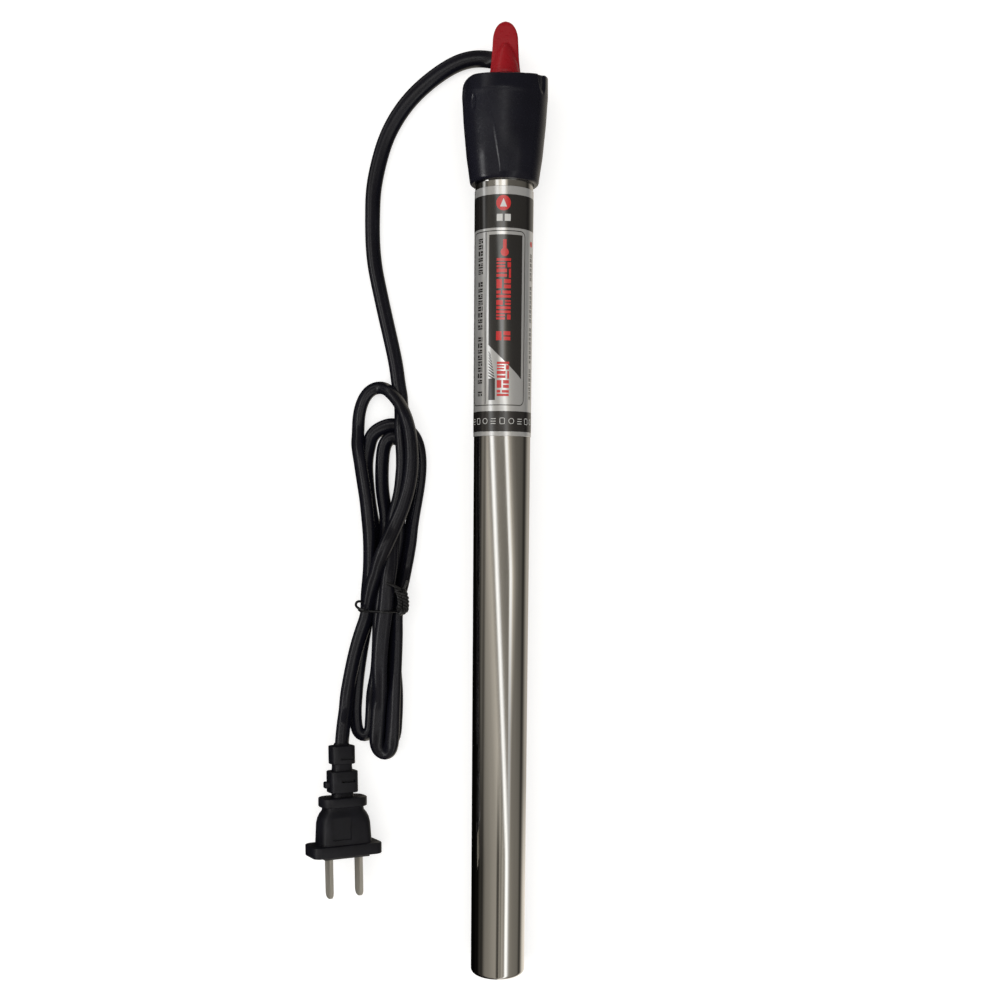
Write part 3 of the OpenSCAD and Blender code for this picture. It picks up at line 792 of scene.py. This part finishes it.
def black_print():
    """Two bands, the panel, a ruled frame, stripes under the panel, and rows of marks."""
    full = (-HALF_ROUND + SEAM, HALF_ROUND - SEAM)
    left, right = PANEL_U
    shapes = [box_shape(*full, *TOP_BAND), box_shape(*full, *FOOT_BAND)]
    shapes.append([
        (left, PANEL_FOOT[0]), (right, PANEL_FOOT[1]), (right, PANEL_TOP), (left, PANEL_TOP)
    ])
    shapes += frame_shapes(-14.6, 9, 228.4, 292.5, 2.2, 0.32)
    shapes += [box_shape(-7, -6.8, 229, 292), box_shape(-7.5, -7.4, 229, 292)]
    shapes += marks(-11.2, -8.6, 290, 230, 1.7, 0.55)
    edge = left + 0.1
    shapes.append(box_shape(edge, -2.9, 230.4, 238.4))
    for k in range(9):
        v = 248.6 - k * 1.1
        end = edge + 0.9 + 0.22 * k
        shapes.append([(edge, v - 0.5), (edge, v), (end, v - 1.5), (end, v - 2)])
    shapes += marks(12.4, 14.1, 285, 230, 1.25, 0.45)
    for u in SMALL_PRINT_AT:
        shapes += marks(u, u + 1.5, 289, 231, 1.3, 0.5)
    return shapes


def red_print():
    """A dot on the top band and one at the right, a thermometer, and two rows of marks."""
    shapes = [dot_shape(-0.2, 302.3, 2.75), dot_shape(13.2, 288.6, 1)]
    shapes += [dot_shape(0.4, 284.6, 1.5), box_shape(-0.25, 1.05, 284.6, 289.2)]
    shapes += marks(-2.6, 2.8, 282.4, 252, 3.3, 0.5)
    shapes += marks(-2.2, 2.4, 244.6, 230, 2.9, 0.5)
    return shapes


def white_print():
    """A triangle and two blocks on the top band, and signs with no meaning round the foot's."""
    shapes = [[(-1.5, 300.9), (1.1, 300.9), (-0.2, 303.9)]]
    shapes += [box_shape(-2.7, -0.5, 295.8, 298.3), box_shape(0.3, 2.5, 295.8, 298.3)]
    for k, u in enumerate(np.arange(-31.5, 32, 3.5)):
        if k % 3 == 0:
            shapes += frame_shapes(u - 1, u + 1, 221.4, 223.8, 0.5, 0.22)
        elif k % 3 == 1:
            shapes += frame_shapes(u - 1.1, u + 1.1, 221.5, 223.7, 1.05, 0.22)
        else:
            shapes += [box_shape(u - 1, u + 1, v, v + 0.25) for v in (221.5, 222.4, 223.3)]
    return shapes


def add_label():
    """The film and its three layers of ink, each lifted to lie over the last."""
    add_film()
    layers = (("black", black_print(), 0), ("red", red_print(), 0.03), ("white", white_print(), 0.04))
    for colour, shapes, lift in layers:
        low = LABEL_R - 0.01 + lift
        add_piece(
            f"label_print_{colour}", *wrap(shapes, low, low + INK), f"label_{colour}", HEATER
        )


add_tube()
add_label()

# ------------------------------------------------------------------ head

HEAD_R = 16.15
WIDEST = 344.06
DIAL_R = 8.2
DIAL_DEPTH = 0.6
SHOULDER_R = 9.6  # where the flat round the dial ends
WALL_R = 12.95  # what lies outside this is the outer wall
# how the top rim runs, by degrees from the front towards +x: (degrees, height, softness, radius)
RIM = [
    (-180, 349, 1.2, 15.7), (-115, 349, 1.5, 15.7), (-90, 348.4, 3.4, 16.0), (-70, 348.3, 2.6, 15.9),
    (-50, 348.1, 1.2, 15.6), (-30, 347.6, 0.8, 15.3), (0, 347.0, 0.7, 15.2), (30, 347.6, 0.8, 15.4),
    (50, 348.3, 0.7, 15.7), (75, 349.2, 0.5, 16.0), (95, 349.6, 0.5, 16.1), (125, 349, 1.2, 15.7),
    (180, 349, 1.2, 15.7),
]


# hollows in the outer wall: (degrees, height), how far each reaches both ways, and its depth
DENTS = [
    ((60, 348), (10, 6.5), 0.8), ((-63, 342), (14, 4.5), 0.7), ((-47, 338), (5, 3), 0.25),
    ((150, 340), (16, 8), 0.5), ((-150, 340), (16, 8), 0.5),
]


def rim_at(degrees):
    """The rim's height, softness and radius."""
    places, *kinds = zip(*RIM)
    return [float(np.interp(degrees, places, kind)) for kind in kinds]


def dent(degrees, z, at, size, depth):
    """How deep a smooth hollow is at a place."""
    reach = ((degrees - at[0]) / size[0]) ** 2 + ((z - at[1]) / size[1]) ** 2
    return depth * smooth_step(1 - reach, 0, 0.6)


def head_relief(degrees, z):
    """What the cap's outer wall has on it: a raised front panel, a swell and hollows."""
    edge = -6.6 - max(z - 314.6, 0) * 0.62
    panel = smooth_step(degrees, edge - 3, edge + 2.4) * (1 - smooth_step(degrees, 18, 60))
    panel *= smooth_step(z, 311.8, 313) * (1 - smooth_step(z, 324, 336))
    swell = math.exp(-(((degrees + 19) / 5) ** 2) - ((z - 331) / 3.5) ** 2)
    hollows = sum(dent(degrees, z, *shape) for shape in DENTS)
    return 0.46 * panel + 0.15 * swell - hollows


def head_profile(degrees):
    """The cap's section at one angle, from the knob's hole out over the top and down the wall."""
    low, high = HEAD
    hole_r = 2.45
    top, soft, wide = rim_at(degrees)
    seat = high - DIAL_DEPTH
    points = [(hole_r, seat - 3.4), (hole_r, seat - 0.3), (hole_r + 0.2, seat)]
    points += [(DIAL_R - 0.2, seat), (DIAL_R, seat + 0.3), (DIAL_R + 0.3, high), (SHOULDER_R, high)]
    inner = wide - soft
    points += [
        (SHOULDER_R + (inner - SHOULDER_R) * k / 4, high + (top - high) * k / 4) for k in (1, 2, 3)
    ]
    points += arc(inner, top - soft, soft, 90, 8, 8)
    wall = [points[-1], (HEAD_R, WIDEST - 1.5), (15.98, 340), (15.55, 333), (14.98, 327),
            (14.4, 321), (13.75, 316.6), (13.1, 312)]
    fine = smooth_line([(r, z, 0) for r, z in wall], 0.2)
    rows = np.linspace(3, len(fine) - 1, 64).astype(int)
    points += [(float(r), float(z)) for r, z, _ in fine[rows]]
    points += [(12.9, low + 0.35), (12.5, low), (11.35, low), (11.05, low + 0.3), (11.05, low + 6)]
    return points


def shaped_profile(degrees):
    """The cap's section with its relief on the outer wall."""
    return [
        (r + head_relief(degrees, z) if r > WALL_R and z > HEAD[0] + 0.6 else r, z)
        for r, z in head_profile(degrees)
    ]


def add_head():
    rings = turned(shaped_profile, 480)
    return add_piece(
        "head_shell", *skin(rings, joined=True), "head_plastic", HEATER, crease=40,
        replaces=("head_cap",),
    )


HEAD_SHELL = add_head()

# ------------------------------------------------------------------ knob


def knob_radius(angle, z):
    """How far the knob reaches from its axis: a fin and a cone, or the foot's disc."""
    up = z - HEAD[1]
    tip = KNOB_TIP - z
    half = np.interp(up, [0, 2.3, 5, 13.5], [5.5, 5.45, 5.25, 4.75])
    if tip < 7:
        half = min(half, 4.75 * math.sqrt(max(1 - (1 - tip / 7) ** 2, 0.004)))
    thick = np.interp(up, [0, 14, 19, 20.5], [1.7, 1.45, 1.2, 0.5])
    c, s = abs(math.cos(angle)), abs(math.sin(angle))
    fin = ((c / half) ** 8 + (s / thick) ** 8) ** (-1 / 8)
    cone = np.interp(up, [0, 2.3, 5, 7.5, 10.5, 12.3, 13.3], [5.68, 5.6, 5.0, 4.2, 3.0, 1.9, 0.3])
    both = (fin**16 + cone**16) ** (1 / 16)
    return max(both, 5.7) if up < 2.2 else both


def add_knob():
    crown = 1.2
    heights = [HEAD[1] + up for up in (0.3, 0.5, 1.2, 2, 2.19)]
    heights += list(np.linspace(HEAD[1] + 2.25, KNOB_TIP - crown, 60))
    heights += list(KNOB_TIP - crown * (1 - np.sin(np.linspace(0.1, math.pi / 2, 12))))
    turns = [2 * math.pi * k / 144 for k in range(144)]
    rings = []
    for z in heights:
        shrink = 0.2 if z < HEAD[1] + 0.4 else 0
        reach = [knob_radius(a, min(z, KNOB_TIP - 0.02)) - shrink for a in turns]
        rings.append([(r * math.cos(a), r * math.sin(a), z) for a, r in zip(turns, reach)])
    return add_piece(
        "red_knob", *skin(rings), "red_plastic", HEATER, crease=38, body="knob",
        replaces=("temperature_knob",),
    )


KNOB = add_knob()

# ------------------------------------------------------------------ plug


def rounded_ring(width, depth, r, z, steps=6):
    """A rounded rectangle across the plug."""
    x, y = width / 2 - r, depth / 2 - r
    corners = [(x, y, 0), (-x, y, 90), (-x, -y, 180), (x, -y, 270)]
    return [(px, py, z) for cx, cy, a in corners for px, py in arc(cx, cy, r, a, a + 90, steps)]


def chain(sections):
    """One closed solid through sections of (height, width, depth, corner)."""
    return skin([rounded_ring(w, d, r, z) for z, w, d, r in sections])


def block_sections(low, high, width, depth, r, core, soft=0.5):
    """A block on a core, both (width, depth), with its four long edges softened."""
    return [
        (low, core[0], core[1], r * 0.8), (low + 0.02, width - soft, depth - soft, r),
        (low + soft * 0.4, width - soft * 0.2, depth - soft * 0.2, r), (low + soft, width, depth, r),
        (high - soft, width, depth, r), (high - soft * 0.4, width - soft * 0.2, depth - soft * 0.2, r),
        (high - 0.02, width - soft, depth - soft, r), (high, core[0], core[1], r * 0.8),
    ]


def cut(piece, cutters):
    """Takes the cutters, boxes in the plug's frame, out of a piece."""
    for (x0, y0, z0), (x1, y1, z1) in cutters:
        points, faces = skin([[(x, y, z) for x, y in box_shape(x0, x1, y0, y1)] for z in (z0, z1)])
        mesh = bpy.data.meshes.new("cutter")
        mesh.from_pydata([tuple(PLUG @ Vector(p)) for p in points], [], faces)
        bm = bmesh.new()
        bm.from_mesh(mesh)
        bmesh.ops.recalc_face_normals(bm, faces=bm.faces)
        bm.to_mesh(mesh)
        bm.free()
        tool = bpy.data.objects.new("cutter", mesh)
        bpy.context.scene.collection.objects.link(tool)
        modifier = piece.modifiers.new("cut", "BOOLEAN")
        modifier.operation = "DIFFERENCE"
        modifier.solver = "EXACT"
        modifier.object = tool
        bpy.context.view_layer.objects.active = piece
        bpy.ops.object.modifier_apply(modifier=modifier.name)
        bpy.data.objects.remove(tool)
        bpy.data.meshes.remove(mesh)


def add_relief():
    """The slotted strain relief: two blocks and a waist on a tapering core."""
    sections = [(-1, 5.8, 4.9, 2.2), (-0.3, 6.4, 5.4, 2.3)]
    sections += block_sections(0, 7.4, 9.9, 8.2, 2.4, (7.6, 6.2))
    sections += [(8.9, 7.8, 6.4, 2.2)]
    sections += block_sections(10.2, 19, 11.6, 9.2, 2.4, (7.9, 6.6))
    sections += [(20.2, 8.6, 7, 2.4), (22, 9.4, 7.6, 2.4)]
    nib = chain([(14.4, 2.4, 3, 0.6), (14.8, 3, 3.6, 0.8), (16.6, 3, 3.6, 0.8), (17, 2.4, 3, 0.6)])
    nib = ([(x - 6.2, y, z) for x, y, z in nib[0]], nib[1])
    relief = add_piece(
        "plug_relief", *chain(sections), "plug_pvc", PLUG, replaces=("plug_strain_relief",)
    )
    slots = [((-4, -6, z), (1.8, -3.3, z + 1.2)) for z in (4.4, 13.6)]
    slots += [((-1.8, 3.3, z), (4, 6, z + 1.2)) for z in (4.4, 13.6)]
    slots += [((2.6, -6, 16.2), (3.8, -4.2, 17.4))]
    cut(relief, slots)
    return relief, add_piece("plug_relief_nib", *nib, "plug_pvc", PLUG)


def add_plug_body():
    """Collar, neck, domed body with a chamfered edge and a recessed panel, and flange."""
    sections = block_sections(20.8, 24.7, 19, 12.6, 4.4, (12, 9), 0.6)[:-1]
    sections += [
        (24.9, 16, 10.8, 3.6), (26.2, 16.4, 11, 3.6), (27.4, 18.2, 11.8, 3.6),
        (29.2, 19.8, 12.4, 3.4), (31.4, 20.6, 12.8, 3.2), (36, 21, 13, 3), (39.6, 21.4, 13.2, 3),
    ]
    sections += block_sections(39.8, 44.4, 29.2, 15, 3, (21.4, 13.2), 0.5)[1:]
    shell = add_piece("plug_shell", *chain(sections), "plug_pvc", PLUG, replaces=("plug_body",))
    cut(shell, [((-1.2, -8, 28.6), (6.6, -6.0, 37.6)), ((-6.6, 6.0, 28.6), (1.2, 8, 37.6))])
    return shell


def add_blades():
    """Two flat blades with rounded tips and softened edges."""
    half_wide, half_thick = BLADE_WIDE / 2, BLADE_THICK / 2
    root, tip = PLUG_L - 5, PLUG_L + BLADE_L
    middle, half_long = (root + tip) / 2, (tip - root) / 2
    shoulder, flat = tip - 2.4, 0.7
    outline = [(-half_wide, root), (half_wide, root)]
    outline += arc(flat, shoulder, half_wide - flat, 0, 90, 8)
    outline += arc(-flat, shoulder, half_wide - flat, 90, 180, 8)
    layers = (
        (-half_thick, 0.25), (-half_thick + 0.2, 0), (half_thick - 0.2, 0), (half_thick, 0.25)
    )
    parts = []
    for x in (-BLADE_PITCH / 2, BLADE_PITCH / 2):
        rings = []
        for at, inset in layers:
            narrow, short = 1 - inset / half_wide, 1 - inset / half_long
            rings.append([(x + at, y * narrow, middle + (z - middle) * short) for y, z in outline])
        parts.append(skin(rings))
    return add_piece("contact_blades", *join(*parts), "nickel", PLUG, replaces=("plug_blades",))


RELIEF, NIB = add_relief()
PLUG_SHELL = add_plug_body()
BLADES = add_blades()

# ------------------------------------------------------------------ floor and light


def add_floor():
    """White paper that glows a little, so that shadows on it stay faint."""
    reach, low = 30, -0.0003  # metres
    mesh = bpy.data.meshes.new("floor")
    corners = [(x * reach, y * reach, low) for x, y in ((-1, -1), (1, -1), (1, 1), (-1, 1))]
    mesh.from_pydata(corners, [], [(0, 1, 2, 3)])
    mesh.materials.append(finish(
        "floor_paper", (0.50, 0.50, 0.50), 0.8, 0, 0.01, 300, 0.01,
        Emission_Color=(1, 1, 1, 1), Emission_Strength=0.66,
    ))
    floor = bpy.data.objects.new("floor", mesh)
    bpy.context.scene.collection.objects.link(floor)
    floor.visible_glossy = False


# What polished metal sees round the tube's axis, as (degrees from straight up towards +x,
# brightness). These bands turn as what the metal sees moves along y.
LEFT_BANDS = [
    (-150, 0.07), (-137, 0.14), (-124, 0.25), (-108, 0.28), (-94, 0.34), (-80, 0.38),
    (-66, 0.52), (-57, 0.60), (-49, 0.40), (-43, 0.34), (-40, 1.1), (-37, 1.7), (-31, 1.7),
    (-27, 1.0), (-22, 0.38), (-14, 0.28), (-2, 0.24), (20, 0.22), (60, 0.15), (150, 0.10),
]
# These turn with them only above the y of RIGHT_AT.
RIGHT_BANDS = [
    (-180, 0), (12, 0), (18, 0.5), (21, 1.5), (28, 1.5), (33, 0.9), (38, 0.5), (50, 0.24),
    (66, 0.15), (90, 0.10), (120, 0.10), (170, 0),
]
# These shade the others and don't turn.
FLANK_SHADES = [
    (-180, 0.02), (-125, 0.02), (-108, 0.08), (-98, 0.05), (-92, 0.25), (-84, 0.6), (-76, 0.3),
    (-70, 0.4), (-64, 0.9), (-58, 1), (70, 1), (92, 0.9), (102, 0.35), (112, 0.2), (130, 0.1),
    (180, 0.1),
]
# These shade them further at the tube's closed end.
END_LINES = [
    (-180, 1), (-9, 1), (-6, 0.25), (1, 0.12), (5, 0.6), (7, 0.7), (9, 0.4), (13, 0.45), (17, 1),
    (180, 1),
]
# This is added where the label sees it.
LABEL_STREAK = [
    (-180, 0), (-20, 0), (-13, 0.5), (-7, 1.2), (2, 1.3), (7, 0.6), (16, 0), (180, 0),
]
# This is added everywhere, and once more at the closed end.
RIGHT_FLANK = [
    (-180, 0.05), (-165, 0), (108, 0), (116, 0.10), (124, 0.30), (136, 0.46), (180, 0.5),
]
BEIGE = (1.08, 1.0, 0.87)
COOL = (1.0, 1.0, 0.99)
BAND_TURN = 4.19  # radians for each unit along y
SCALE = 4  # a ramp's colours lie from 0 to 1, so the bands are this many times brighter
# places along y, as that part of a direction
END_AT = -0.29
END_FROM = -0.21
TOP_AT = 0.36
RIGHT_AT = -0.07
RIGHT_FROM = -0.2
RIGHT_LEAST = 0.42  # how bright the right bands stay below RIGHT_FROM
LABEL_LOW = (0.056, 0.07)
LABEL_HIGH = (0.27, 0.25)


def math_node(tree, operation, *values):
    """A sum on values, which are numbers or sockets."""
    n = tree.nodes.new("ShaderNodeMath")
    n.operation = operation
    for socket, value in zip(n.inputs, values):
        if isinstance(value, (int, float)):
            socket.default_value = value
        else:
            tree.links.new(value, socket)
    return n.outputs["Value"]


def blend_colours(tree, kind, a, b, factor=1.0):
    """Two colours as one. Colours are tuples or sockets, and factor is a number or a socket."""
    n = tree.nodes.new("ShaderNodeMix")
    n.data_type = "RGBA"
    n.blend_type = kind
    if isinstance(factor, float):
        n.inputs["Factor"].default_value = factor
    else:
        tree.links.new(factor, n.inputs["Factor"])
    for socket, value in ((n.inputs[6], a), (n.inputs[7], b)):
        if isinstance(value, tuple):
            socket.default_value = (*value, 1)
        else:
            tree.links.new(value, socket)
    return n.outputs[2]


def bands_on(tree, radians, bands, scale=1.0):
    """The bands at an angle. Bright ones are cool and dim ones warm."""
    share = math_node(tree, "MULTIPLY_ADD", radians, 1 / (2 * math.pi), 0.5)
    stops = []
    for degrees, light in bands:
        tint = COOL if light > 0.9 or light < 0.05 or scale == 1.0 else BEIGE
        stops.append(((degrees + 180) / 360, [light * t / scale for t in tint]))
    return ramp(tree, share, stops)


def add_world():
    """Soft studio surroundings: long panels that run with the tube, drawn by direction."""
    world = bpy.data.worlds.new("studio")
    bpy.context.scene.world = world
    world.use_nodes = True
    tree = world.node_tree
    place = tree.nodes.new("ShaderNodeTexCoord")
    split = tree.nodes.new("ShaderNodeSeparateXYZ")
    tree.links.new(place.outputs["Generated"], split.inputs["Vector"])
    x, y, z = (split.outputs[k] for k in "XYZ")
    around = math_node(tree, "ARCTAN2", x, z)
    turning_y = math_node(tree, "MINIMUM", y, TOP_AT)

    def turned_bands(still_below, bands):
        along = math_node(tree, "MAXIMUM", turning_y, still_below)
        return bands_on(
            tree, math_node(tree, "MULTIPLY_ADD", along, BAND_TURN, around), bands, SCALE
        )

    left = turned_bands(END_AT, LEFT_BANDS)
    right = turned_bands(RIGHT_AT, RIGHT_BANDS)
    fade = rise(tree, y, RIGHT_FROM, RIGHT_AT, RIGHT_LEAST)
    right = blend_colours(tree, "MIX", (0.0, 0.0, 0.0), right, fade)
    light = blend_colours(tree, "LIGHTEN", left, right)
    light = blend_colours(tree, "MULTIPLY", light, bands_on(tree, around, FLANK_SHADES))
    at_end = rise(tree, y, END_FROM, END_AT)
    light = blend_colours(tree, "MULTIPLY", light, bands_on(tree, around, END_LINES), at_end)
    flank = bands_on(tree, around, RIGHT_FLANK, SCALE)
    light = blend_colours(tree, "ADD", light, flank)
    light = blend_colours(tree, "ADD", light, flank, at_end)
    on_label = math_node(tree, "MULTIPLY", rise(tree, y, *LABEL_LOW), rise(tree, y, *LABEL_HIGH))
    streak = bands_on(tree, around, LABEL_STREAK, SCALE)
    light = blend_colours(tree, "ADD", light, streak, on_label)
    background = tree.nodes["Background"]
    tree.links.new(light, background.inputs["Color"])
    background.inputs["Strength"].default_value = SCALE


def add_light(name, at, size, watts, aim=(0, 0, 0), lit=()):
    """A soft panel. One with pieces named as lit lights only those, and shows on their gloss."""
    data = bpy.data.lights.new(name, "AREA")
    data.shape = "RECTANGLE"
    data.size, data.size_y = size
    data.energy = watts
    light = bpy.data.objects.new(name, data)
    light.location = at
    light.rotation_euler = (Vector(aim) - Vector(at)).to_track_quat("-Z", "Y").to_euler()
    bpy.context.scene.collection.objects.link(light)
    light.visible_glossy = bool(lit)
    if lit:
        group = bpy.data.collections.new(name)
        for piece in lit:
            group.objects.link(piece)
        light.light_linking.receiver_collection = group


add_floor()
add_world()
add_light("overhead", (0, 0, 2.2), (2.6, 2.6), 30)
add_light("left_fill", (-1.6, -0.6, 1.4), (1.4, 1.4), 6)
add_light(
    "head_light", (-0.9, -0.03, 0.3), (0.36, 0.2), 2.6, (0, 0.14, 0.03), (HEAD_SHELL, KNOB)
)
add_light(
    "cord_light", (-0.7, -0.1, 0.6), (1.1, 0.16), 1.5, (0, 0, 0),
    (CORD, GLAND, TIE, RELIEF, NIB, PLUG_SHELL),
)
bpy.context.scene.view_settings.view_transform = "Standard"
